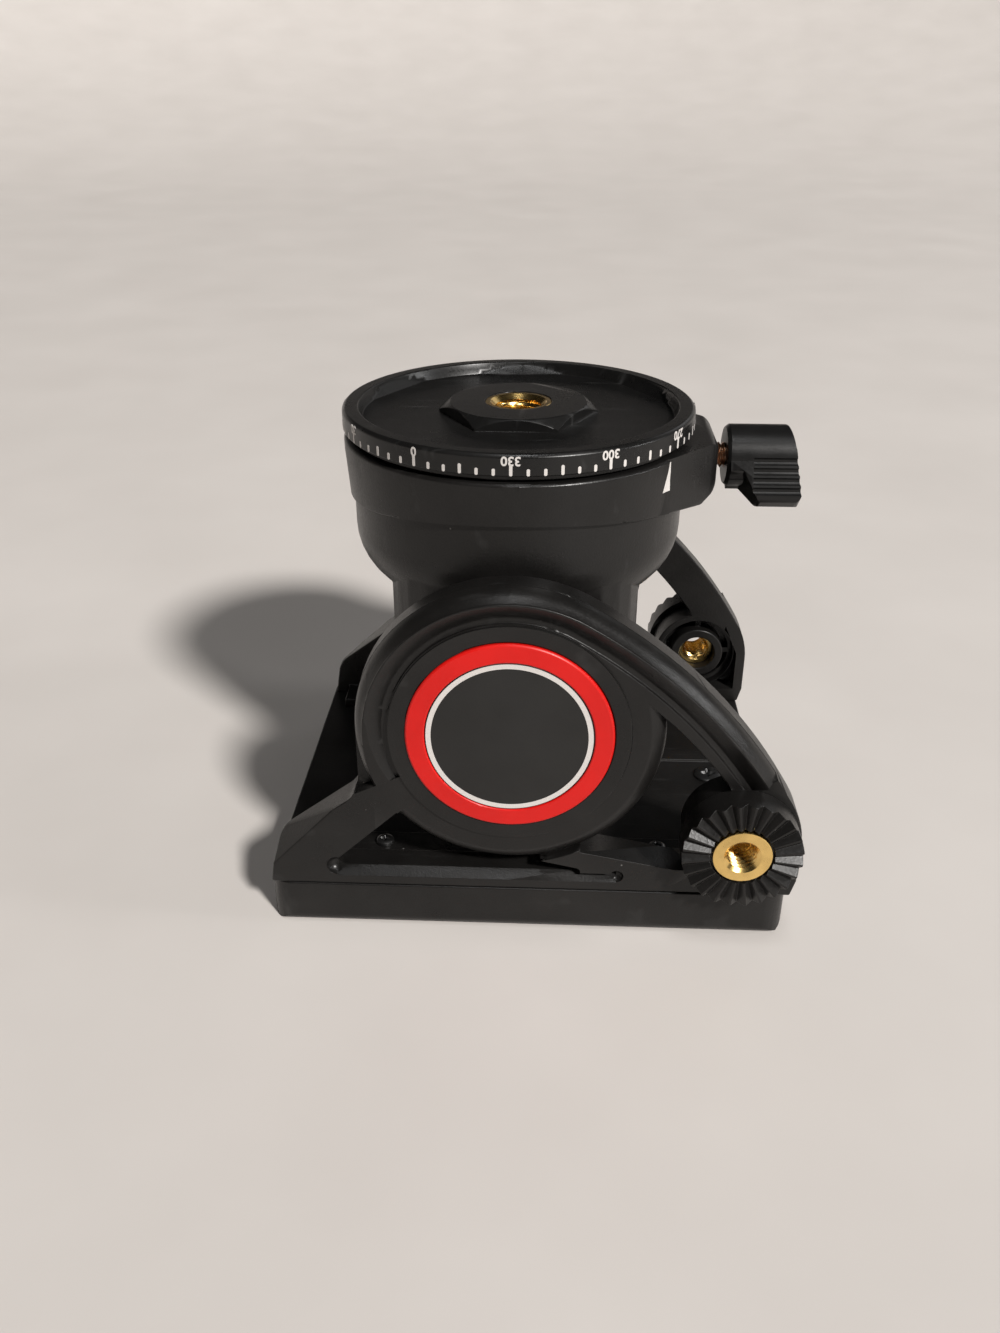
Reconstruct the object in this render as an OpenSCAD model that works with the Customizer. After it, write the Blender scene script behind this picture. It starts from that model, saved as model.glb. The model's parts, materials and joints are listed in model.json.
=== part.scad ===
// Fluid video head, standing upside down on its camera platform.
// X runs to the handle side, Y to the far side, Z up. The tilt axis runs along Y.
// The origin lies on the centre line of the plate channel, in the plane of the camera face.

/* [Pan base] */
// Diameter of the flat tripod base
base_d = 60; // [56:1:62]
// Height of the scale band round the base
base_band = 3.5; // [3:0.1:4.5]
// Height of the tripod face above the tilt axis
base_rise = 44.5; // [42:0.5:48]
// Height of the dark gap between the scale band and the housing
base_gap = 1.2; // [0.9:0.1:1.6]
// Width of the flat lip round the recess
lip_w = 2.8; // [2:0.1:4]
// Depth of the recess under the base
recess_depth = 2; // [1:0.1:2.4]
// Width across the flats of the centre boss
boss_flats = 23.7; // [20:0.1:27]
// Outer diameter of the brass tripod insert
insert_d = 11.3; // [10.6:0.1:12.5]
// Hole diameter of the 3/8 inch tripod thread
tripod_hole_d = 7.94; // [7.5:0.02:8.2]
// Depth of the tripod thread
tripod_depth = 14; // [10:0.5:15]

/* [Pan housing] */
// How far the flange lies inside the scale band
flange_step = 0.1; // [0.1:0.05:0.5]
// Height of the flange at its sides
flange_h = 10.4; // [9:0.1:11.5]
// How much the lower edge of the flange rises at front and back
flange_arch = 3.6; // [1:0.1:5]
// How far the bowl lies inside the flange
bowl_step = 1.3; // [1:0.1:2]
// Radius that rounds the bowl to the neck
bowl_round = 10.4; // [9:0.1:11]
// Height of the bowl's lower end above the tilt axis
bowl_low = 13.8; // [13:0.1:14.5]
// Half width of the neck
neck_r = 21.2; // [20:0.1:22]
// How far the lock lug stands out of the flange
lug_over = 3.9; // [3:0.1:5]
// Width of the lock lug
lug_w = 18; // [14:0.5:20]

/* [Pan works] */
// Drop of the pan lock's axis under the flange's top
lock_drop = 4.4; // [4.2:0.1:4.8]
// Depth of the cup that holds the pan works
cup_depth = 15.4; // [15:0.1:16]
// Radius of the brake drum on the pan spindle
drum_r = 16.5; // [15:0.1:17]
// Radius of the pan spindle's flange
spindle_flange_r = 19.5; // [18.5:0.1:20.5]
// Thickness of the pan spindle's flange
spindle_flange_t = 3; // [2.5:0.1:3.4]
// Thickness of the pan thrust washer
thrust_t = 0.8; // [0.6:0.1:1]
// Thickness of the threaded retaining ring
ring_t = 3; // [2:0.1:3.4]
// Radius of the brake shoe
shoe_r = 3.2; // [3:0.1:3.4]
// Radius of the lock screw's thread core
screw_r = 2.1; // [1.9:0.05:2.4]

/* [Cradle] */
// Height of the tilt axis over the camera face
tilt_z = 39.6; // [38.5:0.1:42]
// Room between the base and the inner side of a cheek
cheek_gap = 0.5; // [0.4:0.1:1]
// Thickness of a cheek
cheek_t = 6.3; // [6:0.1:6.8]
// How far the inner boss stands in from the cheek
boss_step = 1.7; // [1.2:0.1:2]
// Thickness of a drag disc
drag_t = 1.5; // [1.3:0.1:2]
// Radius of the tilt boss on each cheek
boss_r = 25.4; // [25:0.1:26.2]
// Width of the rim round the flat disc of a boss
rim_w = 5.7; // [5.2:0.1:6.2]
// Height of the rim's crest over the flat side of a cheek
crest_h = 1.2; // [0.6:0.1:2]
// Angle at which the arm leaves the boss
arm_angle = 60; // [59:0.5:61]
// How much larger the arm's bend is than the boss
arm_bend = 66; // [64:0.5:68]
// X of the arm's upright end
arm_x = 49; // [48.8:0.1:49.6]
// How far the cheek's foot ends short of the platform
foot_inset = 0.5; // [0.2:0.1:1]
// Length of the camera platform to the left of the tilt axis
platform_left = 42; // [41.5:0.5:44]
// Length of the camera platform to the right of the tilt axis
platform_right = 48; // [47.5:0.5:50]
// How far the platform stands out of the cheeks
platform_over = 0.2; // [0.1:0.1:1]
// Thickness of the camera platform
platform_t = 8.7; // [8.4:0.1:9]
// Radius of the platform's upright corners
platform_corner = 4; // [2:0.5:6]
// Radius of the platform's lower edges
platform_edge = 2; // [0.5:0.5:2.5]

/* [Handle rosettes] */
// X of the rosette axis
rosette_x = 38.4; // [38:0.1:38.8]
// Height of the rosette axis over the camera face
rosette_z = 20.4; // [20:0.1:21]
// Diameter of the toothed rosette
rosette_d = 19.9; // [18.5:0.1:20.5]
// Height of the rosette over the cheek
rosette_h = 5.2; // [4.8:0.1:6]
// Number of teeth
teeth = 24; // [18:1:30]
// Diameter of the brass flange in the rosette
handle_flange_d = 9.8; // [9:0.1:10.4]
// Hole diameter of the M6 handle thread
handle_hole_d = 5; // [4.6:0.1:5.4]
// Length of the brass handle insert
handle_insert_l = 9; // [8:0.5:10]

/* [Trim] */
// Outer diameter of the red trim ring
trim_d = 33.8; // [32:0.1:35]
// Diameter of the centre cap
cap_d = 27.4; // [26:0.1:29]
// How far the trim stands over the disc
trim_proud = 0.6; // [0.3:0.1:1]

/* [Knobs] */
// Diameter of a knob's collar
collar_d = 10.6; // [9.8:0.1:11]
// Length of a knob's collar
collar_l = 3; // [2.6:0.1:4]
// Reach of a knob's wing from its axis
wing_reach = 9.5; // [8.5:0.1:11]
// Length of a knob's wing along its axis
wing_l = 9.8; // [9:0.1:10.5]
// Number of grip grooves on a wing
wing_grooves = 4; // [3:1:5]
// Gap in front of a knob's collar that shows the screw
knob_gap = 1.8; // [1.5:0.1:2.5]

/* [Plate channel] */
// Width of the channel's mouth
channel_mouth = 33; // [31:0.5:34]
// Width across the dovetail at the channel's floor
channel_floor = 38.6; // [37.6:0.2:39]
// Depth of the channel
channel_depth = 6.2; // [5.8:0.1:6.4]
// Length of the clamp jaw
jaw_l = 36; // [30:1:40]
// Height of the clamp screw over the camera face
clamp_z = 5; // [4.95:0.05:5.1]

/* [Hidden] */
$fn = 96;
eps = 0.01;
// Clearances: turning fit, sliding gap and close gap between flat faces
fit = 0.05;
gap = 0.3;
near_gap = 0.1;

base_r = base_d / 2;
base_top = tilt_z + base_rise;
band_low = base_top - base_band;
flange_top = band_low - base_gap;
flange_r = base_r - flange_step;
flange_low = flange_top - flange_h;
bowl_r = flange_r - bowl_step;
bowl_end = tilt_z + bowl_low;
lug_reach = flange_r + lug_over;
spigot_r = flange_r - 1;
disc_under = flange_top + gap;
insert_r = insert_d / 2;
tripod_r = tripod_hole_d / 2;

// Pan works, counted up from the floor of the cup in the housing
cup_floor = flange_top - cup_depth;
spindle_low = cup_floor + thrust_t + near_gap;
ring_low = spindle_low + spindle_flange_t + near_gap;
ring_high = ring_low + ring_t;
ring_bore_r = drum_r + gap;
cup_r = spindle_flange_r + 1.5;
ring_r = cup_r + 3;
insert_head_r = insert_r + 3.8;
insert_head_t = 2.4;
pin_r = 1.5;
pin_ring_r = (insert_r + drum_r) / 2;
pin_l = 5.9;
pin_depth = 5;
slope_w = 1.6;
slope_l = 18.6;

lock_z = flange_top - lock_drop;
shoe_front = drum_r + gap;
shoe_l = 11;
shoe_back = shoe_front + shoe_l;
shoe_bore_end = shoe_back + 1;
screw_hole_r = screw_r + fit;
pan_collar_x = lug_reach + knob_gap;
collar_r = collar_d / 2;
knob_l = collar_l + wing_l;
knob_bore_depth = 6;
tip_r = 2.2;

// Cheeks
cheek_in = base_r + cheek_gap;
cheek_out = cheek_in + cheek_t;
crest_out = cheek_out + crest_h;
disc_r = boss_r - rim_w;
disc_out = cheek_out + 0.5;
rosette_r = rosette_d / 2;
pad_r = rosette_r - 0.9;
rosette_seat = cheek_out;
rosette_out = cheek_out + rosette_h;
handle_shank_r = handle_flange_d / 2 - 1.2;
flange_sink = 1.1;
sill_z = platform_t + 3;
ledge_in = 24;
ledge_h = 2;
boss_in = cheek_in - boss_step;
boss_in_r = boss_r - 5.4;
foot_left = foot_inset - platform_left;
trim_r = trim_d / 2;
cap_r = cap_d / 2;
trim_seat = disc_out - 1.2;
cheek_screw_x = [-22.7, 26];
cheek_screw_y = (ledge_in + cheek_in) / 2;
cheek_screw_r = 1;
cheek_screw_tip = 3;
screw_head_r = 1.6;
screw_head_t = 0.9;
stop_x = 38.3;
stop_r = 1.5;
stop_head_r = 2.6;
stop_head_t = 0.7;
stop_drop = 1.2;
// Low rib on the platform's floor
floor_rib_x = 22;
floor_rib_l = 22;
floor_rib_y = 5;
floor_rib_w = 3.3;
floor_rib_h = 0.5;

// Tilt works
axle_r = 4;
axle_hole_r = axle_r + fit;
thread_r = 3;
thread_hole_r = thread_r + fit;
head_r = 6.5;
head_t = 3.4;
head_seat = trim_seat - head_t - 0.2;
bush_r = 6.5;
bush_l = 12;
bush_flange_r = 8.4;
bush_flange_t = 1.2;
drag_in_r = 9;
neck_half = boss_in - drag_t - gap;
neck_w = 2 * neck_half;
hub_r = bowl_low + 3;
drag_out_r = hub_r - 0.6;
washer_r = 8.5;
washer_t = 1.2;
washer_in = disc_out + gap;
tilt_collar_y = washer_in + washer_t + near_gap;
axle_end = tilt_collar_y + knob_bore_depth - 1;
nut_r = 4.2;
nut_l = 6;

// Plate channel and clamp
mouth_half = channel_mouth / 2;
floor_half = channel_floor / 2;
platform_half = cheek_out + platform_over;
platform_w = 2 * platform_half;
undercut_z = 1;
jaw_gap = gap;
jaw_back = floor_half + 6.2;
jaw_top = platform_t - 1.1;
jaw_low = 0.4;
jaw_front_top = channel_depth - gap;
clamp_r = 2;
clamp_hole_r = clamp_r + fit;
clamp_pocket_back = jaw_back + 1.8;
clamp_collar_y = platform_half + knob_gap;
// The clamp knob is a smaller copy of the lock knobs that clears the table
clamp_scale = (clamp_z - gap) / collar_r;

black = "#2b2a29";
dark = "#1c1c1c";
brass = "#d6a94a";
bronze = "#a9793f";
steel = "#b9bcc0";
red = "#d8201a";
nylon = "#d9d4c8";

// Outline helpers

function unit(v) = v / norm(v);

// Arc that rounds the corner b between a and c
function corner(a, b, c, r, steps = 6) =
    let (u = unit(a - b))
    let (v = unit(c - b))
    let (half = acos(max(-1, min(1, u * v))) / 2)
    let (mid = b + unit(u + v) * (r / sin(half)))
    let (from = b + u * (r / tan(half)) - mid)
    let (turn = sign(cross(from, b + v * (r / tan(half)) - mid)) * (180 - 2 * half))
    [for (i = [0:steps]) mid + rotated(from, turn * i / steps)];

function rotated(v, a) = [v[0] * cos(a) - v[1] * sin(a), v[0] * sin(a) + v[1] * cos(a)];

// Closed outline from [point, radius] pairs
function rounded(corners) =
    let (n = len(corners))
    [for (i = [0:n - 1])
        each corners[i][1] == 0
            ? [corners[i][0]]
            : corner(corners[(i + n - 1) % n][0], corners[i][0], corners[(i + 1) % n][0], corners[i][1])];

// Points of an arc about c
function arc(c, r, a0, a1, steps = 8) =
    [for (i = [0:steps]) c + r * [cos(a0 + (a1 - a0) * i / steps), sin(a0 + (a1 - a0) * i / steps)]];

// Placing helpers: a cheek is drawn flat in X and Z and grows outward from the mid plane

module near_side() {
    rotate([90, 0, 0]) children();
}

module far_side() {
    mirror([0, 1, 0]) near_side() children();
}

module at_tilt() {
    translate([0, tilt_z, 0]) children();
}

module at_rosette() {
    translate([rosette_x, rosette_z, 0]) children();
}

module layer(low, high) {
    translate([0, 0, low]) linear_extrude(high - low) children();
}

module tube(outer, inner, low, high) {
    translate([0, 0, low]) difference() {
        cylinder(r = outer, h = high - low);
        translate([0, 0, -1]) cylinder(r = inner, h = high - low + 2);
    }
}

// Cheeks

// The outline runs a hair outside the swept rim
outline_r = boss_r + fit;
// The arm bends about a point beyond the tilt axis
arm_mid = [0, tilt_z] - arm_bend * [cos(arm_angle), sin(arm_angle)];
arm_r = arm_bend + outline_r;
arm_stop = 31;
arm_end = arm_mid + arm_r * [cos(arm_stop), sin(arm_stop)];
arm_knee = [arm_x, arm_end[1] - (arm_x - arm_end[0]) / tan(arm_stop)];
boss_side = 175;
leg_top = [foot_left + 1.2, platform_t + 7.6];
leg_knee = [-outline_r, tilt_z - 12.2];

module cheek_outline() {
    polygon(concat(
        rounded([
            [[arm_x - 0.8, platform_t], 0],
            [[foot_left, platform_t], 0],
            [leg_top, 5],
            [leg_knee, 5],
            [[-outline_r, tilt_z], 0]
        ]),
        arc([0, tilt_z], outline_r, boss_side, arm_angle, 24),
        arc(arm_mid, arm_r, arm_angle - 1.8, arm_stop, 15),
        corner(arm_end, arm_knee, [arm_x, platform_t], 16),
        [[arm_x, platform_t + 3]]
    ));
}

// Slope on the leg's outer edge, from its front line back to the inner side
leg_front = [-outline_r - 0.25, tilt_z - 11.2];
leg_front_end = [foot_left + 2, platform_t + 5.3];
leg_lean = 0.38;

module leg_slope() {
    run = leg_front_end - leg_front;
    back = cheek_t + 1;
    translate([leg_front[0], leg_front[1], cheek_out]) rotate([0, 0, atan2(run[1], run[0])])
        rotate([90, 0, 90]) linear_extrude(norm(run) + 8)
        polygon([[leg_lean, 1], [-leg_lean * back, -back], [-12, -back], [-12, 1]]);
}

// Triangle between leg, boss and foot bar
module left_window() {
    difference() {
        polygon(rounded([
            [[-32, sill_z], 1.4],
            [[18.8, sill_z], 0.8],
            [[-4, sill_z + 5], 0],
            [[-10, tilt_z - 9], 0],
            [[-11.9, tilt_z - 9], 0]
        ]));
        at_tilt() circle(r = boss_r - 0.8);
    }
}

// Width of the lip that the arm keeps under its rim
arm_lip = 1.7;

// Opening between boss, arm, rosette and lower strut
module right_window() {
    difference() {
        intersection() {
            polygon([
                [12, sill_z + 5],
                [28.3, sill_z + 1.8],
                [33, sill_z + 1.8],
                [44, rosette_z + 10],
                [18, tilt_z + 16]
            ]);
            translate(arm_mid) circle(r = arm_bend + disc_r - arm_lip + 0.1);
        }
        at_tilt() circle(r = boss_r - 0.1);
        at_rosette() circle(r = pad_r);
    }
}

// Section of the rim, as radius from the tilt axis and distance from the mid plane
rim_root = cheek_out - 2.4;
rim_section = [
    [disc_r + 0.1, rim_root - 0.4],
    [disc_r + 0.1, cheek_out - 0.6],
    [disc_r + 0.2 * rim_w, cheek_out - 0.7],
    [disc_r + 0.4 * rim_w, cheek_out + 0.1],
    [disc_r + 0.64 * rim_w, crest_out - 0.05],
    [disc_r + 0.7 * rim_w, crest_out],
    [disc_r + 0.72 * rim_w, crest_out - 0.5],
    [disc_r + 0.82 * rim_w, crest_out - 1.15],
    [disc_r + 0.92 * rim_w, crest_out - 1.9],
    [disc_r + 0.975 * rim_w, crest_out - 2.8],
    [boss_r, crest_out - 3.6],
    [boss_r, rim_root - 0.4]
];
rim_end = 205;
rim_tip = 33;

// The rim follows the boss and then the bend of the arm
module rim_sweep(section) {
    at_tilt() rotate([0, 0, arm_angle]) rotate_extrude(angle = rim_end - arm_angle) polygon(section);
    translate([arm_mid[0], arm_mid[1], 0]) rotate([0, 0, rim_tip])
        rotate_extrude(angle = arm_angle - rim_tip) polygon([for (p = section) p + [arm_bend, 0]]);
}

// Room that is cleared for the rim
rim_room = [
    [disc_r + 0.2, rim_root],
    [boss_r + 3, rim_root],
    [boss_r + 3, crest_out + 3],
    [disc_r + 0.2, crest_out + 3]
];

// The crest sinks into the leg at its left end
fade = 4.5;
fade_l = 18;

module rim_fade() {
    at_tilt() rotate([0, 0, rim_end]) translate([disc_r + 0.3, 0, cheek_out + 0.05])
        rotate([-fade, 0, 0]) translate([0, -fade_l, 0]) cube([rim_w + 4, fade_l + 0.2, 6]);
}

// Falling edge of the disc where no rim runs, up to the lip of the arm
dome_start = 220;
dome_drop = 3.6;
dome_steps = 8;
dome_r = disc_r - 0.4;
dome_section = concat(
    [for (i = [0:dome_steps])
        let (s = i / dome_steps)
        [dome_r + (boss_r + 0.1 - dome_r) * s, disc_out - dome_drop * (1 - sqrt(1 - 0.92 * s * s))]],
    [[boss_r + 0.1, disc_out + 3], [dome_r, disc_out + 3]]
);

module dome_cut() {
    intersection() {
        at_tilt() rotate([0, 0, dome_start])
            rotate_extrude(angle = 360 - dome_start + arm_angle) polygon(dome_section);
        translate([arm_mid[0], arm_mid[1], cheek_in])
            cylinder(r = arm_bend + disc_r - arm_lip, h = cheek_t + 5);
    }
}

module rosette_pocket() {
    at_rosette() circle(r = pad_r - 1.2);
    polygon([
        [rosette_x, sill_z],
        [arm_x - 2, sill_z],
        [arm_x - 2, rosette_z],
        [rosette_x + 5.8, rosette_z + 6.6]
    ]);
}

module rosette_ribs() {
    difference() {
        circle(r = pad_r - 1.1);
        circle(r = pad_r - 2.1);
    }
    circle(r = handle_flange_d / 2 + 0.7);
    for (a = [0, 90, 180, 270])
        rotate(a) translate([0, -0.6]) square([pad_r - 1.2, 1.2]);
}

module cheek_blank() {
    difference() {
        union() {
            layer(cheek_in, cheek_out) cheek_outline();
            at_tilt() translate([0, 0, boss_in]) cylinder(r = boss_in_r, h = cheek_out - boss_in - 1);
            at_tilt() translate([0, 0, cheek_in + 1]) cylinder(r = disc_r, h = disc_out - cheek_in - 1);
            cheek_ledge();
        }
        rim_sweep(rim_room);
        dome_cut();
        leg_slope();
    }
    difference() {
        rim_sweep(rim_section);
        rim_fade();
    }
}

module cheek_solid() {
    difference() {
        cheek_blank();
        layer(cheek_in - 1, crest_out + 1) {
            left_window();
            right_window();
        }
        sill_bevel();
        at_rosette() translate([0, 0, cheek_out]) cylinder(r = rosette_r + gap, h = crest_h + 1);
        layer(cheek_in - 1, cheek_in + 4.2) difference() {
            rosette_pocket();
            at_rosette() rosette_ribs();
        }
        layer(cheek_in - 1, cheek_in + 2) at_rosette() difference() {
            circle(r = pad_r - 1.2);
            circle(r = handle_flange_d / 2 + 0.7);
        }
    }
}

// Foot bar that carries the screws, on the inner side
module cheek_ledge() {
    layer(ledge_in, cheek_in + 1)
        translate([foot_left + 3, platform_t])
        square([cheek_screw_x[1] + 6 - foot_left - 3, ledge_h]);
}

// Sloping ledge in front of the left window, with scooped ends
sill_from = -29.8;
sill_to = 18.4;

module sill_bevel() {
    translate([sill_from, sill_z, cheek_out]) rotate([0, 90, 0]) linear_extrude(sill_to - sill_from)
        polygon([[-1, 0.6], [1.8, 0.6], [1.8, 0.1], [0, -1.2], [-1, -1.2]]);
    translate([sill_from, sill_z + 0.8, cheek_out + 0.1]) sphere(r = 1.8);
    translate([sill_to, sill_z + 0.1, cheek_out + 0.1]) sphere(r = 1.2);
}

module ledge_holes() {
    for (x = cheek_screw_x)
        translate([x, platform_t - 1, cheek_screw_y])
        rotate([-90, 0, 0]) cylinder(r = cheek_screw_r + fit, h = ledge_h + 2);
}

// Bore and seat of the brass handle insert
module insert_seat() {
    at_rosette() translate([0, 0, cheek_in - 1])
        cylinder(r = handle_shank_r + fit, h = rosette_out);
}

module near_cheek() {
    color(black) near_side() difference() {
        cheek_solid();
        ledge_holes();
        insert_seat();
        at_tilt() {
            translate([0, 0, boss_in - 1]) cylinder(r = axle_hole_r, h = cheek_out);
            translate([0, 0, head_seat]) cylinder(r = head_r + fit, h = cheek_out, $fn = 6);
            translate([0, 0, trim_seat]) cylinder(r = trim_r + fit, h = cheek_out);
        }
    }
}

module far_cheek() {
    color(black) far_side() difference() {
        cheek_solid();
        ledge_holes();
        insert_seat();
        at_tilt() translate([0, 0, boss_in - 1]) cylinder(r = axle_hole_r, h = cheek_out);
    }
}

module rosette() {
    at_rosette() difference() {
        translate([0, 0, rosette_seat]) cylinder(r = rosette_r, h = rosette_out - rosette_seat);
        translate([0, 0, rosette_seat - 1])
            cylinder(r = handle_shank_r + fit, h = rosette_out);
        translate([0, 0, rosette_out - flange_sink]) cylinder(r = handle_flange_d / 2 + 0.4, h = 3);
        for (i = [0:teeth - 1])
            rotate([0, 0, i * 360 / teeth]) tooth_groove();
    }
}

// Groove with a V section whose root falls outward, so that the crests stay level
module tooth_groove() {
    fall = atan(180 / teeth * PI / 180) * 0.87;
    half = rosette_r * tan(fall) + 0.2;
    translate([0, 0, rosette_out]) rotate([0, 90 + fall, 0])
        translate([-half, 0, handle_flange_d / 2]) cylinder(r = half, h = rosette_r, $fn = 4);
}

module near_rosette() {
    color(black) near_side() rosette();
}

module far_rosette() {
    color(black) far_side() rosette();
}

module handle_insert() {
    collar_low = rosette_out - flange_sink;
    at_rosette() difference() {
        union() {
            translate([0, 0, collar_low]) cylinder(r = handle_flange_d / 2, h = 1);
            translate([0, 0, rosette_out - handle_insert_l - 0.1])
                cylinder(r = handle_shank_r, h = handle_insert_l - 1 + eps);
        }
        translate([0, 0, cheek_in]) cylinder(r = handle_hole_d / 2, h = rosette_out);
    }
}

module near_handle_insert() {
    color(brass) near_side() handle_insert();
}

module far_handle_insert() {
    color(brass) far_side() handle_insert();
}

module red_trim_ring() {
    color(red) near_side() at_tilt() rotate_extrude() polygon([
        [cap_r, trim_seat],
        [trim_r, trim_seat],
        [trim_r, disc_out + trim_proud - 0.35],
        [trim_r - 0.3, disc_out + trim_proud - 0.1],
        [cap_r + 0.2, disc_out + trim_proud],
        [cap_r, disc_out + trim_proud - 0.15]
    ]);
}

module side_cap() {
    color(dark) near_side() at_tilt()
        translate([0, 0, trim_seat]) cylinder(r = cap_r - fit, h = disc_out + trim_proud - 0.2 - trim_seat);
}

// Platform

module platform_blank() {
    length = platform_left + platform_right;
    intersection() {
        linear_extrude(platform_t) polygon(rounded([
            [[-platform_left, -platform_half], platform_corner],
            [[platform_right, -platform_half], platform_corner],
            [[platform_right, platform_half], platform_corner],
            [[-platform_left, platform_half], platform_corner]
        ]));
        translate([-platform_left, 0, 0]) rotate([90, 0, 90]) linear_extrude(length)
            edge_profile(-platform_half, platform_half);
        translate([0, platform_half, 0]) rotate([90, 0, 0]) linear_extrude(platform_w)
            edge_profile(-platform_left, platform_right);
    }
}

// Upright section with both lower corners rounded
module edge_profile(from, to) {
    polygon(rounded([
        [[from, 0], platform_edge],
        [[to, 0], platform_edge],
        [[to, platform_t], 0],
        [[from, platform_t], 0]
    ]));
}

module channel_section() {
    polygon([
        [-mouth_half, -1],
        [-mouth_half, undercut_z],
        [-floor_half, channel_depth - 1],
        [-floor_half, channel_depth],
        [floor_half + 1, channel_depth],
        [floor_half + 1, -1]
    ]);
}

module platform() {
    color(black) difference() {
        union() {
            platform_blank();
            translate([floor_rib_x, floor_rib_y, platform_t - eps])
                cube([floor_rib_l, floor_rib_w, floor_rib_h + eps]);
        }
        translate([-platform_left - 1, 0, 0]) rotate([90, 0, 90])
            linear_extrude(platform_left + platform_right + 2) channel_section();
        clamp_pocket();
        for (x = cheek_screw_x, side = [-1, 1])
            translate([x, side * cheek_screw_y, cheek_screw_tip - 0.5])
            cylinder(r = cheek_screw_r + fit, h = platform_t);
        translate([stop_x, 0, channel_depth - 1]) cylinder(r = stop_r + fit, h = platform_t);
    }
}

// Pocket of the clamp jaw with the hole of its screw
module clamp_pocket() {
    half = jaw_l / 2 + gap;
    translate([-half, 0, -1]) cube([2 * half, clamp_pocket_back, channel_depth + 1]);
    translate([-half, floor_half, -1]) cube([2 * half, clamp_pocket_back - floor_half, jaw_top + gap + 1]);
    translate([0, floor_half, clamp_z]) rotate([-90, 0, 0]) cylinder(r = clamp_hole_r, h = platform_half);
}

module cheek_screws() {
    color(steel) for (x = cheek_screw_x, side = [-1, 1])
        translate([x, side * cheek_screw_y, 0]) {
            translate([0, 0, cheek_screw_tip])
                cylinder(r = cheek_screw_r, h = platform_t + ledge_h - cheek_screw_tip + eps);
            translate([0, 0, platform_t + ledge_h]) cylinder(r = screw_head_r, h = screw_head_t);
        }
}

// Screw whose tip stops a plate at the end of the channel
module stop_screw() {
    color(steel) translate([stop_x, 0, 0]) {
        translate([0, 0, channel_depth - stop_drop])
            cylinder(r = stop_r, h = platform_t - channel_depth + stop_drop + eps);
        translate([0, 0, platform_t]) cylinder(r = stop_head_r, h = stop_head_t);
    }
}

// Tilt works

module tilt_axle() {
    color(steel) near_side() at_tilt() {
        translate([0, 0, head_seat]) cylinder(r = head_r, h = head_t, $fn = 6);
        translate([0, 0, -disc_out]) cylinder(r = axle_r, h = disc_out + head_seat + eps);
        translate([0, 0, -axle_end]) cylinder(r = thread_r, h = axle_end - disc_out + eps);
    }
}

module drag_disc() {
    at_tilt() tube(drag_out_r, drag_in_r, neck_half + gap, boss_in);
}

module near_drag_disc() {
    color(nylon) near_side() drag_disc();
}

module far_drag_disc() {
    color(nylon) far_side() drag_disc();
}

module tilt_bush() {
    at_tilt() {
        tube(bush_r - fit, axle_hole_r, neck_half - bush_l, neck_half + eps);
        tube(bush_flange_r, axle_hole_r, neck_half, neck_half + bush_flange_t);
    }
}

module near_tilt_bush() {
    color(bronze) near_side() tilt_bush();
}

module far_tilt_bush() {
    color(bronze) far_side() tilt_bush();
}

module tilt_lock_washer() {
    color(steel) far_side() at_tilt() tube(washer_r, thread_hole_r, washer_in, washer_in + washer_t);
}

module tilt_lock_knob() {
    color(black) translate([0, tilt_collar_y, tilt_z]) rotate([-90, 0, 0]) rotate([0, 0, 90])
        knob(nut_r + fit);
}

module tilt_knob_nut() {
    color(brass) translate([0, 0, tilt_z]) rotate([-90, 0, 0])
        tube(nut_r, thread_hole_r, tilt_collar_y, tilt_collar_y + nut_l);
}

// Knobs: a collar on the axis, with a wing to one side that is grooved for grip

wing_out = wing_reach - tip_r;
wing_lean = asin((collar_r - tip_r) / wing_out);
// Share of the radius at which a wing's flanks leave its collar and its tip
flank = 0.97;

module wing_section() {
    side = [sin(wing_lean), cos(wing_lean)];
    circle(r = collar_r);
    translate([wing_out, 0]) circle(r = tip_r);
    polygon([
        flank * collar_r * side,
        [wing_out, 0] + flank * tip_r * side,
        [wing_out + flank * tip_r * side[0], -flank * tip_r * side[1]],
        flank * collar_r * [side[0], -side[1]]
    ]);
}

// Side view of the wing: slanted inner edge, slanted end, rounded corners
module wing_shape() {
    translate([0, collar_d, 0]) rotate([90, 0, 0]) linear_extrude(2 * collar_d) polygon(rounded([
        [[-collar_r - 1, 0], 0],
        [[collar_r * 0.9, 0], 0],
        [[collar_r * 0.9, collar_l - 0.2], 0],
        [[wing_reach - 0.15, collar_l + 2.4], 0.8],
        [[wing_reach - 0.15, knob_l], 1],
        [[-collar_r - 1, knob_l - 2.6], 0]
    ]));
}

module knob(bore_r) {
    run = (wing_out - 0.7) / wing_grooves;
    difference() {
        union() {
            rotate_extrude() polygon([
                [0, 0],
                [collar_r - 0.5, 0],
                [collar_r, 0.6],
                [collar_r, collar_l + 1],
                [0, collar_l + 1]
            ]);
            intersection() {
                translate([0, 0, 0.6]) linear_extrude(knob_l) wing_section();
                wing_shape();
            }
        }
        for (i = [0:wing_grooves - 1])
            rotate([0, 0, wing_lean]) translate([run * (i + 0.8), -collar_r - 0.05, collar_l + 1.4])
            cylinder(r = 0.65, h = knob_l, $fn = 24);
        translate([0, 0, -1]) cylinder(r = bore_r, h = knob_bore_depth + 1);
    }
}

// Pan housing

module bowl_section() {
    polygon(concat(
        [[0, bowl_end - 1], [bowl_r - bowl_round, bowl_end - 1]],
        arc([bowl_r - bowl_round, bowl_end + bowl_round], bowl_round, -90, 0, 10),
        [[bowl_r, flange_top - 1], [0, flange_top - 1]]
    ));
}

arch_r = (flange_r * flange_r + flange_arch * flange_arch) / (2 * flange_arch);

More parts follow.
